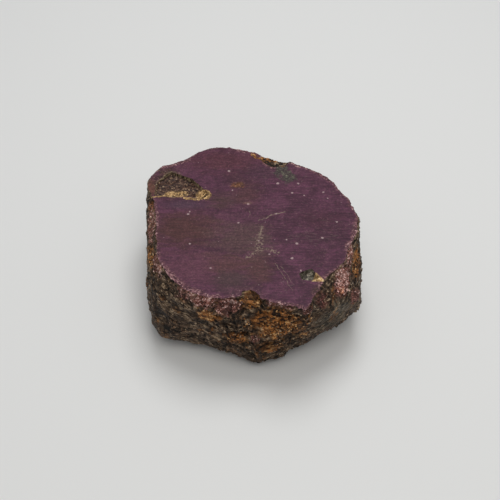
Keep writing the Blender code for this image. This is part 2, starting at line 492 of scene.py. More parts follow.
def cell_vector(centre):
    """Three numbers from -1 to 1 that stay the same all over one cell."""
    return noise.cell_vector(centre * 7.31 + Vector((0.13, 0.29, 0.47))) * 2.0 - Vector((1, 1, 1))


def lifted_blank(node, lift):
    """A merged copy of the solid in mm, with the sawn face raised to be cut off again later."""
    shape = bmesh.new()
    shape.from_mesh(node.data)
    bmesh.ops.remove_doubles(shape, verts=shape.verts, dist=LEVEL_GAP_MM * MM)
    bmesh.ops.scale(shape, vec=(1.0 / MM, 1.0 / MM, 1.0 / MM), verts=shape.verts)
    top = [
        face
        for face in shape.faces
        if all(abs(vert.co.z - HEIGHT_MM) < LEVEL_GAP_MM for vert in face.verts)
    ]
    raised = bmesh.ops.extrude_face_region(shape, geom=top)["geom"]
    for item in raised:
        if isinstance(item, bmesh.types.BMVert):
            item.co.z += lift
    bmesh.ops.delete(shape, geom=top, context="FACES")
    return shape


def remeshed(shape, voxel):
    """The shape as an even skin of small faces."""
    mesh = bpy.data.meshes.new("blank")
    shape.to_mesh(mesh)
    shape.free()
    blank = new_object(mesh, "blank")
    even = blank.modifiers.new("even skin", "REMESH")
    even.mode = "VOXEL"
    even.voxel_size = voxel
    result = evaluated_mesh(blank)
    bpy.data.objects.remove(blank)
    return result


def filled_chip(point):
    """Raises a point of the far chip's floor, the more the nearer it is to the chip's middle."""
    share = CHIP_FILL * share_of(1.0 - squares_away(point, *FAR_CHIP), 0.0, 0.4)
    if point.z < HEIGHT_MM:
        point.z += share * (HEIGHT_MM - point.z)
    return point


def weather(mesh, settings):
    """Moves the even skin's points out or in by the rind's relief, and keeps each one's zone."""
    rind = Rind(settings)
    kept = {name: [] for name in (*PATCHES, "mica", "steep", "relief", "level")}
    normals = [vert.normal.copy() for vert in mesh.vertices]
    places = []
    for vert, normal in zip(mesh.vertices, normals):
        point = vert.co.copy()
        zones = {name: patch_strength(point, listed) for name, listed in PATCHES.items()}
        level = layer_level(point)
        height = rind.relief(point, level, zones["pink"], zones["olive"])
        if in_hollow(point):
            height *= HOLLOW_RELIEF
        on_rest = point.z < REST_BAND_MM and normal.z < -0.7
        if on_rest:
            height = 0.0
        place = filled_chip(point + normal * height)
        place.z = 0.0 if on_rest else max(place.z, LOWEST_RIND_MM)
        places.extend(place)
        zones["mica"] = 1.0 - max(zones["pink"], 0.7 * zones["rust"], 0.8 * zones["olive"])
        zones.update(steep=1.0 - abs(normal.z), relief=height, level=level)
        for name, value in zones.items():
            kept[name].append(value)
    mesh.vertices.foreach_set("co", places)
    for name, values in kept.items():
        layer = mesh.attributes.new(name, "FLOAT", "POINT")
        layer.data.foreach_set("value", values)


def crossings_inside(points, starts, ends):
    """For each point, whether an odd number of the edges from start to end lie to its right."""
    inside = np.zeros(len(points), bool)
    for (ax, ay), (bx, by) in zip(starts, ends):
        spans = (ay > points[:, 1]) != (by > points[:, 1])
        if ay != by:
            at = ax + (points[:, 1] - ay) / (by - ay) * (bx - ax)
            inside ^= spans & (points[:, 0] < at)
    return inside


def point_tree(points):
    tree = KDTree(len(points))
    for i, point in enumerate(points):
        tree.insert(point, i)
    tree.balance()
    return tree


def inner_grid(rim_points, starts, ends, pitch):
    """An even grid of points inside the rim, clear of it by half the pitch."""
    low, high = rim_points.min(0), rim_points.max(0)
    rows = np.arange(low[1], high[1], pitch * ROW_SHARE)
    grid = np.array([
        (x + (row % 2) * pitch / 2.0, y)
        for row, y in enumerate(rows)
        for x in np.arange(low[0], high[0], pitch)
    ])
    grid = grid[crossings_inside(grid, starts, ends)]
    tree = point_tree([(*point, 0.0) for point in rim_points])
    return grid[[tree.find((*point, 0.0))[2] > pitch * 0.5 for point in grid]]


def saw_off(shape, pitch):
    """Cuts the stone level at the sawn face, and closes it with a flat even mesh."""
    cut = bmesh.ops.bisect_plane(
        shape,
        geom=shape.verts[:] + shape.edges[:] + shape.faces[:],
        dist=1e-5,
        plane_co=(0.0, 0.0, HEIGHT_MM),
        plane_no=(0.0, 0.0, 1.0),
        clear_outer=True,
    )["geom_cut"]
    rim_edges = [e for e in cut if isinstance(e, bmesh.types.BMEdge) and e.is_boundary]
    rim_verts = list(dict.fromkeys(vert for edge in rim_edges for vert in edge.verts))
    for vert in rim_verts:
        vert.co.z = HEIGHT_MM
    index = {vert: i for i, vert in enumerate(rim_verts)}
    rim_points = np.array([vert.co.xy[:] for vert in rim_verts])
    starts, ends = ([edge.verts[side].co.xy[:] for edge in rim_edges] for side in (0, 1))
    grid = inner_grid(rim_points, starts, ends, pitch)
    points = [Vector(p) for p in rim_points] + [Vector(p) for p in grid]
    edges = [(index[e.verts[0]], index[e.verts[1]]) for e in rim_edges]
    made, _, faces, origins, _, _ = delaunay_2d_cdt(points, edges, [], ALL_TRIANGLES, 1e-6)
    centres = np.array([np.mean([made[i][:] for i in face], axis=0) for face in faces])
    kept = crossings_inside(centres, starts, ends)
    verts = []
    for i, point in enumerate(made):
        rim_source = [j for j in origins[i] if j < len(rim_verts)]
        if rim_source:
            verts.append(rim_verts[rim_source[0]])
        else:
            verts.append(shape.verts.new((*point, HEIGHT_MM)))
    sawn = []
    for face, keep in zip(faces, kept):
        corners = [verts[i] for i in face]
        if keep and len(set(corners)) == 3:
            made_face = shape.faces.new(corners)
            made_face.normal_update()
            if made_face.normal.z < 0.0:
                made_face.normal_flip()
            sawn.append(made_face)
    return sawn, [vert.co.copy() for vert in rim_verts]


def finish_stone(mesh):
    """Saws the weathered skin level, and gives each face its material's number."""
    shape = bmesh.new()
    shape.from_mesh(mesh)
    sawn, rim_points = saw_off(shape, SAWN_PITCH_MM)
    loose = [vert for vert in shape.verts if not vert.link_faces]
    bmesh.ops.delete(shape, geom=loose, context="VERTS")
    outer_rim = point_tree([point for point in rim_points if not in_hollow(point)])
    rim = shape.verts.layers.float.new("rim")
    for vert in shape.verts:
        vert[rim] = outer_rim.find(vert.co)[2]
    for face in shape.faces:
        face.smooth = True
        middle = face.calc_center_median()
        if in_hollow(middle) and middle.z > HEIGHT_MM - HOLLOW_DEPTH_MM:
            face.material_index = HOLLOW
    for face in sawn:
        face.smooth = False
        face.material_index = SAWN
    bmesh.ops.scale(shape, vec=(MM, MM, MM), verts=shape.verts)
    shape.to_mesh(mesh)
    shape.free()


# Shader groups and materials

# Noises of the materials: (scale per mm, detail, distortion, roughness). The last two may be
# left out.
NOISES = {
    "uneven": (0.3, 3.0),
    "rind wander": (0.8, 3.0),
    "foliated": (0.3, 2.0),
    "stain": (0.35, 5.0, 0.5, 0.65),
    "wander": (0.5, 5.0, 0.4, 0.62),
    "blotch": (0.2, 5.0, 0.8, 0.62),
    "cloud": (1.1, 4.0, 0.5, 0.65),
    "fine": (1.9, 5.0, 0.3, 0.7),
    "pitted": (3.6, 2.0, 0.3, 0.7),
    "crumbs": (2.0, 2.0, 0.4, 0.6),
    "saw": (1.0, 4.0, 0.0, 0.75),
    "scratches": (1.0, 3.0, 0.0, 0.6),
    "gaps": (2.2, 2.0),
    "sparkle": (2.4, 4.0, 0.4, 0.65),
    "patchy": (0.25, 3.0),
}
# Colours that aren't settings, as linear light.
MICA_LIGHT = (0.165, 0.105, 0.064)
MICA_GLINT = (0.42, 0.30, 0.19)
RUBY_GLINT = (0.95, 0.64, 0.58)
RUST_GLINT = (0.74, 0.44, 0.19)
PLAIN_RUBY = (0.120, 0.050, 0.042)
ORANGE_TINT = (1.0, 0.68, 0.42)
MAROON_TINT = (0.34, 0.24, 0.24)
BLACK_MICA_AND_NOTCH_SHADE = (0.012, 0.012, 0.015)
DIRT = (0.115, 0.066, 0.062)
PALE_CRUMB = (0.23, 0.16, 0.13)
SCRATCH = (0.21, 0.145, 0.135)
CRACK = (0.270, 0.200, 0.150)
SPECK = (0.46, 0.33, 0.33)
ZERO = (0.0, 0.0, 0.0)
FLAT = (1.0, 1.0, 0.0)  # drops a vector's height


def grain_kinds(colours):
    """Each kind of grain: size in mm, and its dark, middle, light and glint colours."""
    mica, pink, rust, gold = colours.mica, colours.pink, colours.rust, colours.gold
    brown = blended(rust, mica, 0.5)
    return {
        "mica": (0.85, scaled(mica, 0.12), mica, scaled(mica, 2.1), scaled(mica, 5.6)),
        "leaves": (0.7, scaled(mica, 0.1), scaled(mica, 0.85), MICA_LIGHT, MICA_GLINT),
        "olive": (
            0.5,
            (0.016, 0.012, 0.008), (0.075, 0.053, 0.034), (0.165, 0.126, 0.084), (0.34, 0.27, 0.19),
        ),
        "rust": (0.85, (0.022, 0.010, 0.004), brown, rust, RUST_GLINT),
        "pink": (0.6, scaled(pink, 0.1), scaled(pink, 0.42), pink, RUBY_GLINT),
        "inclusion": (
            0.6,
            (0.018, 0.008, 0.006), (0.062, 0.029, 0.020), (0.115, 0.060, 0.040), (0.42, 0.29, 0.18),
        ),
        "inclusion wall": (
            1.0,
            (0.022, 0.013, 0.008), (0.110, 0.078, 0.046), (0.230, 0.170, 0.100), (0.46, 0.36, 0.22),
        ),
        "gold": (0.6, scaled(gold, 0.22), scaled(gold, 0.6), scaled(gold, 1.1), (0.88, 0.60, 0.30)),
        "golden wall": (
            0.9, scaled(gold, 0.3), scaled(gold, 0.75), scaled(gold, 1.2), (0.85, 0.66, 0.36)
        ),
        "worn rim": (
            0.55,
            (0.050, 0.018, 0.024), (0.125, 0.050, 0.060), (0.270, 0.125, 0.130), (0.62, 0.40, 0.38),
        ),
        "green": (
            0.6,
            (0.030, 0.027, 0.022), (0.055, 0.055, 0.042), (0.105, 0.110, 0.075), (0.25, 0.25, 0.16),
        ),
        "orange": (
            0.6, (0.030, 0.014, 0.008), scaled(rust, 0.35), scaled(rust, 0.8), (0.62, 0.36, 0.17)
        ),
        "pit": (
            0.8,
            (0.044, 0.034, 0.024), (0.082, 0.070, 0.053), (0.135, 0.120, 0.092), (0.38, 0.33, 0.25),
        ),
        "mica flakes": (0.7, scaled(mica, 0.2), mica, MICA_LIGHT, MICA_GLINT),
        "broken ruby": (0.5, scaled(pink, 0.2), scaled(pink, 0.5), pink, RUBY_GLINT),
        "rusty crumbs": (0.6, (0.022, 0.011, 0.005), brown, rust, RUST_GLINT),
    }


def millimetres(tree):
    """Object coordinates in mm."""
    place = add_node(tree, "ShaderNodeTexCoord").outputs["Object"]
    return vector_math(tree, "MULTIPLY", place, (1.0 / MM, 1.0 / MM, 1.0 / MM))


def attribute(tree, name):
    return add_node(tree, "ShaderNodeAttribute", attribute_name=name).outputs["Fac"]


def noise_of(tree, vector, name):
    return noise_value(tree, vector, *NOISES[name])


def first_channel(tree, colour):
    return add_node(tree, "ShaderNodeSeparateColor", {"Color": colour}).outputs[0]


def mottle_group():
    """Four colours in grains of a given size, with a height for bump."""
    group, given, result = new_group("Mottle", {
        "Vector": ZERO,
        "Grain size mm": 0.8,
        "Dark": (0.01, 0.01, 0.01, 1.0),
        "Middle": (0.1, 0.1, 0.1, 1.0),
        "Light": (0.3, 0.3, 0.3, 1.0),
        "Glint": (0.5, 0.5, 0.5, 1.0),
        "Lightness": 0.0,
    }, {"Colour": "Color", "Height": "Float"})
    vector = given["Vector"]
    scale = math_node(group, "DIVIDE", 1.0, given["Grain size mm"])
    coarse = noise_value(group, vector, times(group, scale, 0.6), 4.0, 0.4, 0.65)
    fine = noise_value(group, vector, times(group, scale, 2.4), 2.0, 0.3, 0.6)
    cells = {"Vector": vector, "Scale": times(group, scale, 1.6)}
    tone = first_channel(group, add_node(group, "ShaderNodeTexVoronoi", cells).outputs["Color"])
    mixed = add(
        group, times(group, coarse, 0.34), times(group, fine, 0.4), times(group, tone, 0.26)
    )
    shifted = add(group, mixed, given["Lightness"])
    colour = given["Dark"]
    for name, low, high in (("Middle", 0.41, 0.49), ("Light", 0.51, 0.59), ("Glint", 0.61, 0.67)):
        colour = mix_colour(group, ramp_between(group, shifted, low, high), colour, given[name])
    group.links.new(colour, result["Colour"])
    group.links.new(mixed, result["Height"])
    return group


def patch_group():
    """A patch with a frayed edge: 1 inside, 0 outside. Wander is a noise from 0 to 1."""
    group, given, result = new_group("Patch", {
        "Vector": ZERO,
        "Wander": 0.5,
        "Centre": ZERO,
        "Half size": (1.0, 1.0, 1.0),
        "Ragged": 0.5,
        "Softness": 0.4,
    }, {"Mask": "Float"})
    away = vector_math(group, "SUBTRACT", given["Vector"], given["Centre"])
    away = vector_math(group, "DIVIDE", away, given["Half size"])
    far = vector_value(group, "LENGTH", away)
    frayed = times(group, minus(group, given["Wander"], 0.5), 4.0)
    far = add(group, far, times(group, frayed, given["Ragged"]))
    edge = less(group, given["Softness"])
    group.links.new(less(group, ramp_between(group, far, edge, 1.0)), result["Mask"])
    return group


def line_group():
    """A line from one point of the sawn face to another: 1 on it, 0 beside it."""
    group, given, result = new_group("Line", {
        "Vector": ZERO,
        "Start": ZERO,
        "End": (1.0, 0.0, 0.0),
        "Width mm": 0.2,
    }, {"Mask": "Float"})
    along = vector_math(group, "SUBTRACT", given["End"], given["Start"])
    away = vector_math(group, "SUBTRACT", given["Vector"], given["Start"])
    share = math_node(
        group,
        "DIVIDE",
        vector_value(group, "DOT_PRODUCT", away, along),
        vector_value(group, "DOT_PRODUCT", along, along),
        clamp=True,
    )
    beside = vector_math(group, "SUBTRACT", away, stretched(group, along, share))
    far = vector_value(group, "LENGTH", beside)
    half = times(group, given["Width mm"], 0.5)
    mask = less(group, ramp_between(group, far, times(group, half, 0.4), half))
    group.links.new(mask, result["Mask"])
    return group


def triangle_group():
    """A triangle on the sawn face, its corners anticlockwise: 1 inside, 0 outside."""
    group, given, result = new_group("Triangle", {
        "Vector": ZERO,
        "A": ZERO,
        "B": (1.0, 0.0, 0.0),
        "C": (0.0, 1.0, 0.0),
    }, {"Mask": "Float"})
    mask = 1.0
    for start, end in (("A", "B"), ("B", "C"), ("C", "A")):
        side = vector_math(group, "SUBTRACT", given[end], given[start])
        inward = vector_math(group, "CROSS_PRODUCT", (0.0, 0.0, 1.0), side)
        inward = vector_math(group, "NORMALIZE", inward)
        away = vector_math(group, "SUBTRACT", given["Vector"], given[start])
        depth = vector_value(group, "DOT_PRODUCT", away, inward)
        mask = times(group, ramp_between(group, depth, -0.05, 0.12), mask)
    group.links.new(mask, result["Mask"])
    return group


def shader_groups():
    """The shared effects, each built the first time that it is asked for."""
    makers = {
        "Mottle": mottle_group,
        "Patch": patch_group,
        "Line": line_group,
        "Triangle": triangle_group,
    }
    return {
        name.lower(): bpy.data.node_groups.get(name) or make() for name, make in makers.items()
    }


def wandering(tree, vector, scale, reach):
    """The vector, flattened to the sawn face and moved about by up to about reach mm."""
    shift = add_node(
        tree, "ShaderNodeTexNoise", {"Vector": vector, "Scale": scale, "Detail": 3.0}
    ).outputs["Color"]
    shift = vector_math(tree, "SUBTRACT", shift, (0.5, 0.5, 0.5))
    shift = vector_math(tree, "MULTIPLY", shift, (2.5 * reach, 2.5 * reach, 0.0))
    return vector_math(tree, "ADD", vector_math(tree, "MULTIPLY", vector, FLAT), shift)


def lines_mask(tree, groups, vector, lines):
    return strongest(tree, (
        use_group(tree, groups["line"], {
            "Vector": vector,
            "Start": (*start, 0.0),
            "End": (*end, 0.0),
            "Width mm": width,
        })["Mask"]
        for start, end, width in lines
    ))


def dots_mask(tree, vector, dots):
    """Small round marks of the sawn face, each (x, y, radius) in mm."""
    return strongest(tree, (
        less(tree, ramp_between(
            tree, vector_value(tree, "DISTANCE", vector, (x, y, 0.0)), radius * 0.45, radius
        ))
        for x, y, radius in dots
    ))


def mottle(tree, groups, vector, kind, lightness=0.0):
    """The colour and height of one kind of grain."""
    size, dark, middle, light, glint = kind
    return use_group(tree, groups["mottle"], {
        "Vector": vector,
        "Grain size mm": size,
        "Dark": dark,
        "Middle": middle,
        "Light": light,
        "Glint": glint,
        "Lightness": lightness,
    })


def patch_mask(tree, groups, place, wander, centre, half, ragged, softness):
    return use_group(tree, groups["patch"], {
        "Vector": place,
        "Wander": wander,
        "Centre": centre,
        "Half size": half,
        "Ragged": ragged,
        "Softness": softness,
    })["Mask"]


def flat_patch(tree, groups, place, wander, centre, half, ragged, softness):
    """A patch of the sawn face, which also reaches down the walls of its hollows."""
    centre, half = (*centre, HEIGHT_MM), (*half, 9.0)
    return patch_mask(tree, groups, place, wander, centre, half, ragged, softness)


def new_material(name):
    material = bpy.data.materials.new(name)
    material.use_nodes = True
    tree = material.node_tree
    return material, tree, tree.nodes["Principled BSDF"]


def finish_surface(tree, shader, colour, roughness, specular, height, depth_mm, strength):
    """Gives a shader its colour, its gloss and a bump of this depth from the height."""
    bump = add_node(tree, "ShaderNodeBump", {
        "Height": height,
        "Distance": depth_mm * MM,
        "Strength": strength,
    }).outputs["Normal"]
    set_inputs(tree, shader, {
        "Base Color": colour,
        "Roughness": roughness,
        "Specular IOR Level": specular,
        "Normal": bump,
    })


# Patches of the rind's colour only, in mm: (centre, half sizes).
OCHRE = (((-9.9, -23.3, 16.7), (3.8, 2.6, 2.2)), ((7.0, -26.0, 12.0), (8.0, 4.0, 3.6)))
# Painted light: the right bevel is painted lighter, where light falls on it.
PAINTED_LIGHT_BEVEL = ((20.6, -15.6, 19.4), (3.6, 5.6, 4.0))
MAROON = ((15.2, -21.4, 20.0), (3.4, 3.4, 3.0))
PLAIN_BLOCK = ((-5.2, -23.6, 20.2), (2.9, 2.4, 2.6))
ORANGE_BEVEL = ((20.6, -17.4, 18.6), (1.9, 1.9, 2.0))


def rind_material(groups, kinds):
    """Mica, broken ruby and iron stains, by the zone that each point of the stone keeps."""
    material, tree, shader = new_material("mica rind")
    place = millimetres(tree)
    # The layered grains are drawn out along the mica layers, and thin across them.
    level = attribute(tree, "level")
    flat = vector_math(tree, "MULTIPLY", place, (0.42, 0.42, 0.0))
    across = add_node(tree, "ShaderNodeCombineXYZ", {"Z": times(tree, level, 1.5)})
    across = across.outputs["Vector"]
    layered = vector_math(tree, "ADD", flat, across)
    uneven = spread(tree, noise_of(tree, place, "uneven"), 0.3, 0.7, -0.05, 0.07)
    mica = mottle(tree, groups, place, kinds["mica"], uneven)
    leaves = mottle(tree, groups, layered, kinds["leaves"], uneven)
    olive = mottle(tree, groups, layered, kinds["olive"], uneven)
    streaked = vector_math(tree, "MULTIPLY", flat, (1.6, 1.6, 0.0))
    streaked = vector_math(tree, "ADD", streaked, across)
    wander = noise_of(tree, place, "rind wander")

    def patch(centre, half):
        return patch_mask(tree, groups, place, wander, centre, half, 0.2, 0.8)

    ochre = strongest(tree, (patch(*one) for one in OCHRE))
    more_ochre = add(tree, uneven, times(tree, ochre, 0.07))
    rust = mottle(tree, groups, streaked, kinds["rust"], more_ochre)
    # Painted light on the pink: lighter on the right bevel, where light falls, and also lighter
    # towards the top.
    under_rim = spread(tree, axis_of(tree, place, "Z"), 18.5, 21.0, 0.0, 0.2)
    bevel_highlight_and_top = strongest(tree, (patch(*PAINTED_LIGHT_BEVEL), under_rim))
    brighter = add(tree, uneven, times(tree, bevel_highlight_and_top, 0.09))
    pink = mottle(tree, groups, place, kinds["pink"], brighter)
    foliated = ramp_between(tree, noise_of(tree, place, "foliated"), 0.42, 0.55)
    colour = mix_colour(tree, foliated, mica["Colour"], leaves["Colour"])
    colour = mix_colour(tree, attribute(tree, "olive"), colour, olive["Colour"])
    stain = ramp_between(tree, noise_of(tree, place, "stain"), 0.55, 0.66)
    rusty = strongest(tree, (attribute(tree, "rust"), times(tree, stain, 0.6)))
    colour = mix_colour(tree, rusty, colour, rust["Colour"])
    colour = mix_colour(tree, attribute(tree, "pink"), colour, pink["Colour"])
    plain = mix_colour(tree, 0.5, pink["Colour"], PLAIN_RUBY)
    colour = mix_colour(tree, patch(*PLAIN_BLOCK), colour, plain)
    orange = multiplied(tree, pink["Colour"], ORANGE_TINT)
    colour = mix_colour(tree, patch(*ORANGE_BEVEL), colour, orange)
    dull = multiplied(tree, pink["Colour"], MAROON_TINT)
    colour = mix_colour(tree, times(tree, patch(*MAROON), 0.9), colour, dull)
    # Black mica, with painted shade in the front rim's notch.
    black_mica_and_notch_shade = times(tree, attribute(tree, "black_mica_and_notch_shade"), 0.8)
    colour = mix_colour(tree, black_mica_and_notch_shade, colour, BLACK_MICA_AND_NOTCH_SHADE)
    # Painted shade and light: hollows are darker than what stands out, and ridges lighter.
    painted_relief_shade = spread(tree, attribute(tree, "relief"), -0.3, 0.26, 0.4, 1.3)
    colour = multiplied(tree, colour, painted_relief_shade)
    roughness = spread(tree, mica["Height"], 0.3, 0.7, 0.75, 0.4)
    height = add(tree, mica["Height"], leaves["Height"])
    finish_surface(tree, shader, colour, roughness, 0.22, height, 0.26, 1.0)
    return material


# Marks on the sawn face, in mm: lines are (start, end, width), dots are (x, y, radius).
VEIN = (
    ((-25.0, 8.2), (-20.2, 8.9), 0.6),
    ((-19.8, 9.3), (-16.4, 9.5), 2.9),
    ((-16.0, 8.1), (-12.6, 7.7), 1.2),
)
VEIN_DIP = 0.9  # how far the vein runs back for each mm of depth
CRACKS = (
    ((2.3, -1.0), (1.8, -5.4), 0.5),
    ((1.7, 0.9), (3.6, 1.5), 0.55),
    ((3.6, 1.5), (5.4, 3.0), 0.5),
    ((5.4, 3.0), (7.8, 3.4), 0.35),
    ((-0.5, 3.9), (-0.2, 2.8), 0.22),
    ((-0.2, 2.8), (-0.7, 1.7), 0.22),
    ((5.4, -12.6), (8.9, -20.4), 0.2),
    ((6.5, -13.4), (9.3, -18.9), 0.15),
)
CRACK_CHAIN = (
    ((2.3, -1.4), (1.8, -4.6), 1.3),
    ((1.8, -4.6), (1.8, -8.4), 2.6),
    ((1.8, -8.4), (-0.8, -10.8), 1.8),
    ((4.0, -8.2), (5.8, -9.4), 2.0),
)
SPECKS = (
    (-14.9, 2.8, 0.40), (-14.6, 3.6, 0.23), (-14.2, -6.6, 0.33), (-3.1, 0.0, 0.30),
    (-9.2, -14.0, 0.33), (6.3, 13.1, 0.43), (11.3, 13.1, 0.33), (9.7, 9.9, 0.36),
    (12.6, 9.0, 0.23), (17.2, 10.1, 0.36), (18.1, 8.1, 0.26), (19.8, 0.3, 0.33),
    (16.2, -4.8, 0.36), (10.3, -6.5, 0.40), (9.1, -11.0, 0.40), (22.0, -6.9, 0.40),
    (1.6, -5.7, 0.26), (-5.5, 17.5, 0.46), (5.8, 2.9, 0.30), (8.0, -5.4, 0.26),
    (4.0, -9.8, 0.30), (-0.8, 6.1, 0.36), (-4.6, 10.8, 0.23), (10.9, -14.7, 0.30),
)
GREEN_SPOT = (((7.0, 18.9), (8.8, 15.0), 4.4),)
ORANGE_RIM = (((0.0, 23.2), (3.4, 21.7), 1.3), ((3.4, 21.6), (7.4, 20.0), 2.6))
BROWN_SPOT = (((-4.3, 12.2), (-2.8, 12.4), 2.6),)
GOLDEN_WALL = ((14.2, -15.1), (13.1, -17.9), (16.3, -17.9))
# Zones of the sawn face are (centre, half sizes, ragged, softness).
VEIN_HEAD = ((-11.5, 9.2), (2.2, 2.0), 0.3, 0.3)
PALE_ZONE = ((-5.5, -2.5), (10.0, 8.0), 0.4, 0.8)
CHATTER = ((14.0, -4.6), (10.0, 2.4), 0.3, 0.7)
WHOLE_RIM = ((-0.5, -20.0), (5.5, 4.0), 0.2, 0.5)
BESIDE_INCLUSION = ((-20.6, 13.6), (5.0, 6.2), 0.5, 0.7)
# The pit's walls are a zone with a height as well.
PIT_WALLS = ((12.6, -15.6, 21.0), (4.5, 4.0, 4.0), 0.08, 0.1)
# Tints are zones with a strength and a colour.
TINTS = (
    ((-7.0, 21.0), (14.0, 6.0), 0.3, 0.8, 0.8, (0.092, 0.028, 0.040)),
    ((-13.0, -13.8), (11.0, 8.5), 0.35, 0.8, 1.0, (0.110, 0.038, 0.061)),
    ((-15.5, -2.0), (13.0, 8.5), 0.35, 0.8, 1.0, (0.078, 0.030, 0.031)),
    ((-2.2, -5.2), (10.0, 8.5), 0.4, 0.8, 0.95, (0.085, 0.041, 0.046)),
    ((-5.6, -12.8), (7.0, 4.5), 0.4, 0.8, 0.85, (0.100, 0.041, 0.043)),
    ((1.6, -13.5), (4.6, 6.5), 0.35, 0.7, 0.85, (0.090, 0.038, 0.038)),
    ((-4.6, -17.6), (5.6, 4.2), 0.3, 0.8, 0.9, (0.069, 0.036, 0.040)),
    ((-15.8, 6.0), (9.0, 2.4), 0.25, 0.9, 0.75, (0.074, 0.037, 0.060)),
    ((-7.0, 7.4), (6.0, 4.0), 0.35, 0.9, 0.9, (0.076, 0.036, 0.037)),
    ((-1.0, 9.5), (5.5, 7.0), 0.3, 0.9, 0.75, (0.088, 0.034, 0.039)),
    ((14.5, -4.9), (12.0, 2.0), 0.25, 0.8, 0.7, (0.056, 0.019, 0.034)),
    ((16.0, 1.0), (8.0, 5.5), 0.3, 0.9, 0.7, (0.068, 0.021, 0.037)),
    ((15.8, -21.4), (3.4, 4.4), 0.35, 0.5, 0.95, (0.062, 0.030, 0.025)),
    ((-0.7, 6.1), (1.3, 1.1), 0.9, 0.9, 0.7, (0.250, 0.135, 0.110)),
    ((2.0, -7.2), (3.4, 5.4), 0.8, 0.9, 0.35, (0.115, 0.072, 0.068)),
    ((-4.4, 14.8), (4.0, 3.6), 0.4, 0.9, 0.55, (0.070, 0.026, 0.036)),
    ((2.8, 17.2), (5.4, 4.4), 0.4, 0.9, 0.7, (0.058, 0.024, 0.038)),
    ((-24.4, 11.4), (2.2, 4.4), 0.3, 0.7, 0.9, (0.135, 0.054, 0.036)),
    ((-3.5, 12.4), (2.0, 1.6), 0.6, 0.9, 0.8, (0.080, 0.034, 0.022)),
)


def ruby_ground(tree, groups, place, ruby):
    """Cloudy ruby under its colour zones, and the streaky noise that frays them."""
    cloudy = ramp_between(tree, noise_of(tree, place, "blotch"), 0.36, 0.64)
    colour = mix_colour(tree, cloudy, scaled(ruby, 0.78), scaled(ruby, 1.2))
    drawn_out = vector_math(tree, "MULTIPLY", place, (0.45, 1.3, 1.0))
    streaks = noise_of(tree, drawn_out, "wander")
    for *zone, strength, tint in TINTS:
        mask = flat_patch(tree, groups, place, streaks, *zone)
        colour = mix_colour(tree, times(tree, mask, strength), colour, tint)
    cloud = spread(tree, noise_of(tree, drawn_out, "cloud"), 0.32, 0.68, 0.75, 1.25)
    return multiplied(tree, colour, cloud), streaks


def grimed(tree, groups, place, streaks, colour):
    """Lays fine dirt, pits and pale crumbs over a colour, and also gives two of the noises."""
    fine = noise_of(tree, place, "fine")
    dirty = ramp_between(tree, fine, 0.56, 0.68)
    colour = mix_colour(tree, times(tree, dirty, 0.6), colour, DIRT)
    colour = multiplied(tree, colour, spread(tree, fine, 0.35, 0.65, 0.7, 1.3))
    pitted = noise_of(tree, place, "pitted")
    colour = multiplied(tree, colour, spread(tree, pitted, 0.35, 0.65, 0.84, 1.16))
    pale = flat_patch(tree, groups, place, streaks, *PALE_ZONE)
    crumbs = ramp_between(tree, noise_of(tree, place, "crumbs"), 0.52, 0.57)
    pale = times(tree, times(tree, pale, crumbs), 0.12)
    return mix_colour(tree, pale, colour, PALE_CRUMB), fine, crumbs


def saw_lines(tree, groups, place, streaks, colour):
    """Draws the saw's lines and short scratches, stronger on the right, and gives their noise."""
    curved = wandering(tree, place, 0.12, 0.5)
    saw = noise_of(tree, vector_math(tree, "MULTIPLY", curved, (0.07, 2.6, 0.0)), "saw")
    right = spread(tree, axis_of(tree, place, "X"), -8.0, 8.0, 0.45, 1.0)
    line = times(tree, minus(tree, saw, 0.5), times(tree, right, 1.9))
    colour = multiplied(tree, colour, add(tree, line, 1.0))
    short = vector_math(tree, "MULTIPLY", place, (0.5, 4.2, 0.0))
    short = noise_of(tree, short, "scratches")
    chatter = flat_patch(tree, groups, place, streaks, *CHATTER)
    short = add(tree, short, times(tree, chatter, 0.06))
    scratch = times(tree, ramp_between(tree, short, 0.61, 0.69), times(tree, right, 0.5))
    return mix_colour(tree, scratch, colour, SCRATCH), saw


def cracked(tree, groups, place, crumbs, colour):
    """Draws the pale cracks and the chain of crumbs along them, and gives their mask."""
    shaken = wandering(tree, place, 0.7, 0.45)
    gaps = spread(tree, noise_of(tree, place, "gaps"), 0.42, 0.56, 0.25, 1.0)
    crack = times(tree, lines_mask(tree, groups, shaken, CRACKS), gaps)
    chain = times(tree, lines_mask(tree, groups, shaken, CRACK_CHAIN), crumbs)
    crack = strongest(tree, (crack, chain))
    return mix_colour(tree, times(tree, crack, 0.8), colour, CRACK), crack


def specked(tree, place, colour):
    """Lays the larger pale specks over a colour, and fainter small ones between them."""
    speck = dots_mask(tree, wandering(tree, place, 1.6, 0.2), SPECKS)
    cells = add_node(tree, "ShaderNodeTexVoronoi", {"Vector": place, "Scale": 0.55}).outputs
    keep = first_channel(tree, cells["Color"])
    small = less(tree, ramp_between(tree, cells["Distance"], 0.04, 0.11))
    small = times(tree, small, times(tree, ramp_between(tree, keep, 0.62, 0.7), 0.5))
    speck = strongest(tree, (speck, small))
    return mix_colour(tree, times(tree, speck, 0.8), colour, SPECK)


def worn_rim(tree, groups, place, streaks, kinds, colour):
    """Lays broken ruby along the face's outer rim, widest at the front."""
    rim = attribute(tree, "rim")
    front = spread(tree, axis_of(tree, place, "Y"), -18.0, 6.0, 0.9, 0.5)
    width = add(tree, times(tree, front, 1.7), 0.25)
    worn = less(tree, math_node(tree, "DIVIDE", rim, width, clamp=True))
    sparkle = noise_of(tree, place, "sparkle")
    patchy = spread(tree, noise_of(tree, place, "patchy"), 0.38, 0.62, -0.5, 0.25)
    worn = add(tree, worn, minus(tree, sparkle, 0.5), patchy)
    whole = flat_patch(tree, groups, place, streaks, *WHOLE_RIM)
    kept = spread(tree, whole, 0.0, 1.0, 0.8, 0.2)
    worn = times(tree, ramp_between(tree, worn, 0.2, 0.75), kept)
    broken = mottle(tree, groups, place, kinds["worn rim"], 0.01)
    return mix_colour(tree, worn, colour, broken["Colour"])


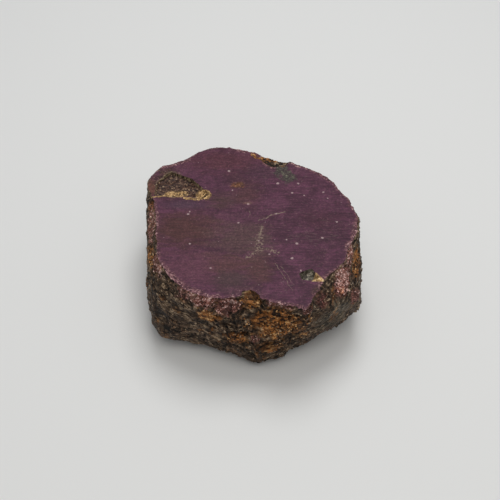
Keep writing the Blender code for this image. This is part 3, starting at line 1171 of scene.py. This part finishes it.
def stained(tree, groups, place, kinds, colour):
    """Lays the green spot, the orange far rim and the brown spot over a colour."""
    green = mottle(tree, groups, place, kinds["green"])
    spot = lines_mask(tree, groups, wandering(tree, place, 0.7, 1.6), GREEN_SPOT)
    colour = mix_colour(tree, times(tree, spot, 0.8), colour, green["Colour"])
    orange = mottle(tree, groups, place, kinds["orange"], 0.02)
    stirred = wandering(tree, place, 0.6, 1.0)
    band = lines_mask(tree, groups, stirred, ORANGE_RIM)
    brown = times(tree, lines_mask(tree, groups, stirred, BROWN_SPOT), 0.35)
    return mix_colour(tree, strongest(tree, (band, brown)), colour, orange["Colour"])


def vein_mask(tree, groups, place, wander):
    """The golden vein below the inclusion and its rounded head. It dips under the inclusion."""
    parts = add_node(tree, "ShaderNodeSeparateXYZ", {"Vector": place}).outputs
    depth = minus(tree, HEIGHT_MM, parts["Z"])
    back = minus(tree, parts["Y"], times(tree, depth, VEIN_DIP))
    place = add_node(
        tree, "ShaderNodeCombineXYZ", {"X": parts["X"], "Y": back, "Z": HEIGHT_MM}
    ).outputs["Vector"]
    line = lines_mask(tree, groups, wandering(tree, place, 0.9, 0.35), VEIN)
    return strongest(tree, (line, flat_patch(tree, groups, place, wander, *VEIN_HEAD)))


def inclusion_tones(tree, groups, place, wander, kinds):
    """Dark mica crossed by the golden vein, as on the inclusion and the sawn face beside it."""
    dark = mottle(tree, groups, place, kinds["inclusion"])
    turned = {"Vector": place, "Angle": -0.7}
    slanted = add_node(tree, "ShaderNodeVectorRotate", turned, rotation_type="Z_AXIS")
    slanted = vector_math(tree, "MULTIPLY", slanted.outputs["Vector"], (0.5, 2.2, 1.0))
    wall = mottle(tree, groups, slanted, kinds["inclusion wall"], 0.02)
    steep = ramp_between(tree, attribute(tree, "steep"), 0.25, 0.6)
    colour = mix_colour(tree, steep, dark["Colour"], wall["Colour"])
    gold = mottle(tree, groups, place, kinds["gold"], 0.03)
    vein = vein_mask(tree, groups, place, wander)
    return mix_colour(tree, vein, colour, gold["Colour"]), dark["Height"], vein


def golden_wall(tree, groups, place, kinds, colour):
    """Lays the pit's one golden facet, which runs up to the sawn face, over a colour."""
    gold = mottle(tree, groups, place, kinds["golden wall"], 0.03)
    corners = {name: (*corner, 0.0) for name, corner in zip("ABC", GOLDEN_WALL)}
    flat = vector_math(tree, "MULTIPLY", place, FLAT)
    facet = use_group(tree, groups["triangle"], {"Vector": flat, **corners})["Mask"]
    return mix_colour(tree, facet, colour, gold["Colour"])


def sawn_material(groups, kinds, ruby):
    """Opaque ruby, sawn: colour zones, saw lines, cracks, specks and stains."""
    material, tree, shader = new_material("sawn ruby")
    place = millimetres(tree)
    wander = noise_of(tree, place, "wander")
    colour, streaks = ruby_ground(tree, groups, place, ruby)
    colour, fine, crumbs = grimed(tree, groups, place, streaks, colour)
    colour, saw = saw_lines(tree, groups, place, streaks, colour)
    colour, crack = cracked(tree, groups, place, crumbs, colour)
    colour = specked(tree, place, colour)
    colour = worn_rim(tree, groups, place, streaks, kinds, colour)
    colour = stained(tree, groups, place, kinds, colour)
    tones, mica_height, vein = inclusion_tones(tree, groups, place, wander, kinds)
    beside = flat_patch(tree, groups, place, wander, *BESIDE_INCLUSION)
    inlaid = strongest(tree, (times(tree, beside, 0.85), vein))
    colour = mix_colour(tree, inlaid, colour, tones)
    colour = golden_wall(tree, groups, place, kinds, colour)
    roughness = spread(tree, fine, 0.3, 0.7, 0.5, 0.72)
    height = add(tree, times(tree, saw, 0.8), times(tree, fine, 0.6))
    height = minus(tree, height, times(tree, crack, 0.6))
    height = add(tree, height, times(tree, mica_height, inlaid))
    finish_surface(tree, shader, colour, roughness, 0.2, height, 0.05, 0.6)
    return material


def inclusion_material(groups, kinds):
    """The dark mica inclusion with its golden vein, and the walls of the triangular pit."""
    material, tree, shader = new_material("mica inclusion")
    place = millimetres(tree)
    wander = noise_of(tree, place, "wander")
    colour, height, _ = inclusion_tones(tree, groups, place, wander, kinds)
    pit = mottle(tree, groups, place, kinds["pit"], 0.02)
    in_pit = patch_mask(tree, groups, place, wander, *PIT_WALLS)
    colour = mix_colour(tree, in_pit, colour, pit["Colour"])
    colour = golden_wall(tree, groups, place, kinds, colour)
    finish_surface(tree, shader, colour, 0.5, 0.22, height, 0.2, 0.8)
    return material


def grain_material(name, groups, kinds):
    """One kind of grain, mottled, that also differs from grain to grain."""
    material, tree, shader = new_material(name)
    place = millimetres(tree)
    tone = spread(tree, attribute(tree, "tone"), 0.0, 1.0, -0.17, 0.17)
    grain = mottle(tree, groups, place, kinds[name], tone)
    roughness = spread(tree, grain["Height"], 0.3, 0.7, 0.65, 0.35)
    finish_surface(tree, shader, grain["Colour"], roughness, 0.3, grain["Height"], 0.06, 0.7)
    return material


# Grains scattered by Geometry Nodes

SHAPES = 4  # irregular copies of a flake or a lump
CLUSTER_SCALE = 240.0  # of the noise that clusters the grains, per metre
CM2_PER_M2 = 1e4
SUNK_SHARE = 0.1  # of the largest grain, below the rind's surface
SMALLEST_SHARE = 0.4  # of the largest grain's size
LOWEST_GRAIN_MM = 1.5
TOP_GAP_MM = 0.7  # kept free of grains below the sawn face


def random_value(tree, kind, low, high, seed):
    """A random number, whole number or vector for each item."""
    first, result = {"FLOAT_VECTOR": (0, 0), "FLOAT": (2, 1), "INT": (4, 2)}[kind]
    made = add_node(
        tree, "FunctionNodeRandomValue", {first: low, first + 1: high, "Seed": seed}, data_type=kind
    )
    return made.outputs[result]


def flake_shape(tree):
    """A six-sided plate of mica, one unit wide, and how far its corners may move."""
    plate = {"Vertices": 6, "Side Segments": 1, "Fill Segments": 1, "Radius": 0.5, "Depth": 0.2}
    made = add_node(tree, "GeometryNodeMeshCylinder", plate, fill_type="NGON")
    return made.outputs["Mesh"], (0.13, 0.13, 0.04)


def lump_shape(tree):
    """An angular grain, one unit wide, and how far its corners may move."""
    made = add_node(tree, "GeometryNodeMeshIcoSphere", {"Radius": 0.5, "Subdivisions": 1})
    return made.outputs["Mesh"], (0.17, 0.17, 0.17)


def several_shapes(tree, shape):
    """A few irregular copies of one shape, to be picked from at random."""
    joined = tree.nodes.new("GeometryNodeJoinGeometry")
    mesh, reach = shape(tree)
    for seed in range(SHAPES):
        low = tuple(-value for value in reach)
        offset = random_value(tree, "FLOAT_VECTOR", low, reach, seed)
        bent = add_node(tree, "GeometryNodeSetPosition", {"Geometry": mesh, "Offset": offset})
        one = add_node(
            tree, "GeometryNodeGeometryToInstance", {"Geometry": bent.outputs["Geometry"]}
        )
        tree.links.new(one.outputs["Instances"], joined.inputs["Geometry"])
    return joined.outputs["Geometry"]


def scattered_points(tree, given):
    """Points on the rind, as thick as the zone says and in clusters, sunk in a little."""
    zone = add_node(tree, "GeometryNodeInputNamedAttribute", {"Name": given["Zone"]})
    place = tree.nodes.new("GeometryNodeInputPosition").outputs["Position"]
    height = axis_of(tree, place, "Z")
    number = tree.nodes.new("GeometryNodeInputMaterialIndex").outputs["Material Index"]
    on_rind = math_node(tree, "LESS_THAN", number, SAWN - 0.5)
    above = math_node(tree, "GREATER_THAN", height, given["Lowest"])
    below = math_node(tree, "LESS_THAN", height, given["Highest"])
    allowed = times(tree, times(tree, on_rind, above), below)
    clusters = spread(tree, noise_value(tree, place, CLUSTER_SCALE, 3.0), 0.42, 0.6, 0.1, 2.0)
    density = times(tree, given["Per cm2"], CM2_PER_M2)
    density = times(tree, density, times(tree, zone.outputs["Attribute"], allowed))
    density = times(tree, density, clusters)
    points = add_node(
        tree,
        "GeometryNodeDistributePointsOnFaces",
        {"Mesh": given["Geometry"], "Density": density, "Seed": given["Seed"]},
    )
    normal = points.outputs["Normal"]
    sunk = stretched(tree, normal, times(tree, given["Largest size"], -SUNK_SHARE))
    seated = add_node(
        tree, "GeometryNodeSetPosition", {"Geometry": points.outputs["Points"], "Offset": sunk}
    )
    return seated.outputs["Geometry"], normal


def laid_along(tree, normal, tilt):
    """A turn that lays a shape flat on the rind, along the mica layers, and tilts it at random."""
    outward = add_node(tree, "FunctionNodeAlignRotationToVector", {"Vector": normal}, axis="Z")
    level_way = vector_math(tree, "CROSS_PRODUCT", (0.0, 0.0, 1.0), normal)
    laid = add_node(
        tree,
        "FunctionNodeAlignRotationToVector",
        {"Rotation": outward.outputs["Rotation"], "Vector": level_way},
        axis="X",
        pivot_axis="Z",
    )
    low = tuple(-value for value in tilt)
    turned = add_node(tree, "FunctionNodeRotateRotation", {
        "Rotation": laid.outputs["Rotation"],
        "Rotate By": random_value(tree, "FLOAT_VECTOR", low, tilt, 11),
    }, rotation_space="LOCAL")
    return turned.outputs["Rotation"]


def scatter_tree(name, shape, stretch, tilt):
    """Scatters irregular copies of a shape over the rind, as thick as one of its zones says.

    They lie along the mica layers, stretched that way, and tilt at random.
    """
    tree = bpy.data.node_groups.new(name, "GeometryNodeTree")
    for label, kind in (
        ("Geometry", "NodeSocketGeometry"),
        ("Zone", "NodeSocketString"),
        ("Per cm2", "NodeSocketFloat"),
        ("Largest size", "NodeSocketFloat"),
        ("Lowest", "NodeSocketFloat"),
        ("Highest", "NodeSocketFloat"),
        ("Seed", "NodeSocketInt"),
        ("Material", "NodeSocketMaterial"),
    ):
        tree.interface.new_socket(label, in_out="INPUT", socket_type=kind)
    tree.interface.new_socket("Geometry", in_out="OUTPUT", socket_type="NodeSocketGeometry")
    given = tree.nodes.new("NodeGroupInput").outputs
    result = tree.nodes.new("NodeGroupOutput")
    seated, normal = scattered_points(tree, given)
    turned = laid_along(tree, normal, tilt)
    smallest = tuple(SMALLEST_SHARE * value for value in stretch)
    size = random_value(tree, "FLOAT_VECTOR", smallest, stretch, 12)
    placed = add_node(tree, "GeometryNodeInstanceOnPoints", {
        "Points": seated,
        "Instance": several_shapes(tree, shape),
        "Pick Instance": True,
        "Instance Index": random_value(tree, "INT", 0, SHAPES - 1, 13),
        "Rotation": turned,
        "Scale": stretched(tree, size, given["Largest size"]),
    }).outputs["Instances"]
    toned = add_node(tree, "GeometryNodeStoreNamedAttribute", {
        "Geometry": placed,
        "Name": "tone",
        "Value": random_value(tree, "FLOAT", 0.0, 1.0, 14),
    }, data_type="FLOAT", domain="INSTANCE").outputs["Geometry"]
    real = add_node(tree, "GeometryNodeRealizeInstances", {"Geometry": toned}).outputs["Geometry"]
    finished = add_node(
        tree, "GeometryNodeSetMaterial", {"Geometry": real, "Material": given["Material"]}
    ).outputs["Geometry"]
    tree.links.new(finished, result.inputs["Geometry"])
    return tree


def scattered(name, base, tree, values):
    """Keeps the pieces that a tree scatters over a base mesh, as a plain mesh of their own."""
    carrier = new_object(base.copy(), name)
    modifier = carrier.modifiers.new("scatter", "NODES")
    modifier.node_group = tree
    for item in tree.interface.items_tree:
        if item.in_out == "INPUT" and item.name in values:
            modifier[item.identifier] = values[item.name]
    mesh = evaluated_mesh(carrier)
    carrier.modifiers.remove(modifier)
    carrier.data = mesh
    if not mesh.polygons:
        raise RuntimeError(f"no {name} were scattered")
    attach(carrier, "root")


# Operators


class RUBY_OT_stone(bpy.types.Operator):
    """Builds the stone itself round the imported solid"""

    bl_idname = "ruby.stone"
    bl_label = "Stone"

    def execute(self, context):
        settings = context.scene.ruby_stone
        colours = context.scene.ruby_colours
        shape = lifted_blank(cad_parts["rough_ruby"], LIFT_MM)
        mesh = remeshed(shape, settings.detail / MM)
        weather(mesh, settings)
        groups = shader_groups()
        kinds = grain_kinds(colours)
        mesh.materials.clear()
        mesh.materials.append(rind_material(groups, kinds))
        mesh.materials.append(sawn_material(groups, kinds, colours.ruby))
        mesh.materials.append(inclusion_material(groups, kinds))
        finish_stone(mesh)
        mesh.name = "stone"
        stone = new_object(mesh, "stone")
        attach(stone, "root")
        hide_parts("rough_ruby")
        return {"FINISHED"}


class RUBY_OT_grains(bpy.types.Operator):
    """Scatters mica flakes, ruby grains and rusty crumbs over the rind"""

    bl_idname = "ruby.grains"
    bl_label = "Grains"

    def execute(self, context):
        settings = context.scene.ruby_grains
        groups = shader_groups()
        kinds = grain_kinds(context.scene.ruby_colours)
        base = bpy.data.objects["stone"].data
        leaves = scatter_tree("Scatter flakes", flake_shape, (1.5, 0.75, 1.0), (0.25, 0.2, 0.6))
        lumps = scatter_tree("Scatter lumps", lump_shape, (1.0, 0.85, 0.75), (3.1, 3.1, 3.1))
        for name, tree, zone, per_cm2, size, kind in (
            ("mica_flakes", leaves, "mica", "flakes_per_cm2", "flake_size", "mica flakes"),
            ("ruby_grains", lumps, "pink", "grains_per_cm2", "grain_size", "broken ruby"),
            ("rusty_crumbs", lumps, "rust", "crumbs_per_cm2", "crumb_size", "rusty crumbs"),
        ):
            scattered(name, base, tree, {
                "Zone": zone,
                "Per cm2": getattr(settings, per_cm2),
                "Largest size": getattr(settings, size),
                "Lowest": LOWEST_GRAIN_MM * MM,
                "Highest": (HEIGHT_MM - TOP_GAP_MM) * MM,
                "Seed": settings.seed,
                "Material": grain_material(kind, groups, kinds),
            })
        return {"FINISHED"}


# The stage: the camera looks at a point of the stone from the front and above.
CAMERA_TARGET_MM = Vector((0.565, -0.345, 10.0))
CAMERA_ELEVATION = math.radians(48.0)
CAMERA_LENS = 70.0
CAMERA_DISTANCE = 0.235
TARGET_PIXEL = (254.0, 258.0)  # where the target lies in an image this wide and high
IMAGE_SIZE = 500.0
# Lights are (place and width in metres, colour).
KEY_LIGHT = ((0.03, 0.16, 0.42), 0.24, (0.99, 1.0, 1.0))
FILL_LIGHT = ((0.04, -0.18, 0.40), 0.28, (1.0, 0.98, 0.93))
SKY_COLOUR = (0.97, 0.98, 1.0, 1.0)
BACKDROP = 0.5  # strength of the band of light at the horizon
FLOOR_REACH = 0.8  # metres from the stone to the floor's edge


def area_light(name, light_place, size, colour, power, target):
    light = bpy.data.lights.new(name, "AREA")
    light.shape = "DISK"
    light.size = size
    light.energy = power
    light.color = colour
    obj = new_object(light, name)
    obj.location = light_place
    obj.rotation_euler = (target - Vector(light_place)).to_track_quat("-Z", "Y").to_euler()


class RUBY_OT_stage(bpy.types.Operator):
    """Sets the pale floor, the soft light and the camera"""

    bl_idname = "ruby.stage"
    bl_label = "Stage"

    def execute(self, context):
        settings = context.scene.ruby_stage
        target = CAMERA_TARGET_MM * MM
        self.make_floor(settings.floor)
        area_light("key light", *KEY_LIGHT, settings.key_power, target)
        area_light("fill light", *FILL_LIGHT, settings.fill_power, target)
        self.make_sky(context, settings.sky)
        self.make_camera(context, target)
        context.scene.view_settings.view_transform = "Standard"
        return {"FINISHED"}

    def make_floor(self, colour):
        shape = bmesh.new()
        bmesh.ops.create_grid(shape, x_segments=8, y_segments=8, size=FLOOR_REACH)
        mesh = bpy.data.meshes.new("floor")
        shape.to_mesh(mesh)
        shape.free()
        material, _, shader = new_material("pale floor")
        shader.inputs["Base Color"].default_value = opaque(colour)
        shader.inputs["Roughness"].default_value = 0.8
        mesh.materials.append(material)
        new_object(mesh, "floor")

    def make_sky(self, context, strength):
        """Even light, stronger overhead, with a brighter band along the horizon."""
        world = bpy.data.worlds.new("soft light")
        context.scene.world = world
        world.use_nodes = True
        tree = world.node_tree
        sky = tree.nodes["Background"]
        sky.inputs["Color"].default_value = SKY_COLOUR
        way = add_node(tree, "ShaderNodeTexCoord").outputs["Generated"]
        high = axis_of(tree, way, "Z")
        overhead = spread(tree, high, 0.0, 0.9, 0.2 * strength, 1.6 * strength)
        backdrop = spread(tree, high, 0.06, 0.14, BACKDROP, 0.0)
        tree.links.new(strongest(tree, (overhead, backdrop)), sky.inputs["Strength"])

    def make_camera(self, context, target):
        camera = new_object(bpy.data.cameras.new("camera"), "camera")
        camera.data.lens = CAMERA_LENS
        camera.data.clip_start = 0.005
        ahead = Vector((0.0, math.cos(CAMERA_ELEVATION), -math.sin(CAMERA_ELEVATION)))
        right = Vector((1.0, 0.0, 0.0))
        up = right.cross(ahead)
        pixels = CAMERA_LENS / camera.data.sensor_width * IMAGE_SIZE
        aside, below = (
            (pixel - IMAGE_SIZE / 2.0) / pixels * CAMERA_DISTANCE for pixel in TARGET_PIXEL
        )
        camera.location = target - ahead * CAMERA_DISTANCE - right * aside + up * below
        camera.rotation_euler = Matrix((right, up, -ahead)).transposed().to_euler()
        context.scene.camera = camera


class RUBY_PT_panel(bpy.types.Panel):
    """Lists the steps and their settings"""

    bl_label = "Rough ruby"
    bl_idname = "RUBY_PT_panel"
    bl_space_type = "VIEW_3D"
    bl_region_type = "UI"
    bl_category = "Rough ruby"

    def draw(self, context):
        layout = self.layout
        for group in SETTINGS:
            settings = getattr(context.scene, group)
            for name in settings.__annotations__:
                layout.prop(settings, name)
        for operator in STEPS:
            layout.operator(operator.bl_idname)


SETTINGS = {
    "ruby_stone": StoneSettings,
    "ruby_grains": GrainSettings,
    "ruby_colours": ColourSettings,
    "ruby_stage": StageSettings,
}
STEPS = (RUBY_OT_stone, RUBY_OT_grains, RUBY_OT_stage)
CLASSES = (*SETTINGS.values(), *STEPS, RUBY_PT_panel)


def register():
    for cls in CLASSES:
        bpy.utils.register_class(cls)
    for name, cls in SETTINGS.items():
        setattr(bpy.types.Scene, name, PointerProperty(type=cls))


def unregister():
    for name in SETTINGS:
        delattr(bpy.types.Scene, name)
    for cls in reversed(CLASSES):
        bpy.utils.unregister_class(cls)


def main():
    register()
    bpy.ops.ruby.stone()
    bpy.ops.ruby.grains()
    bpy.ops.ruby.stage()


if __name__ == "__main__":
    main()
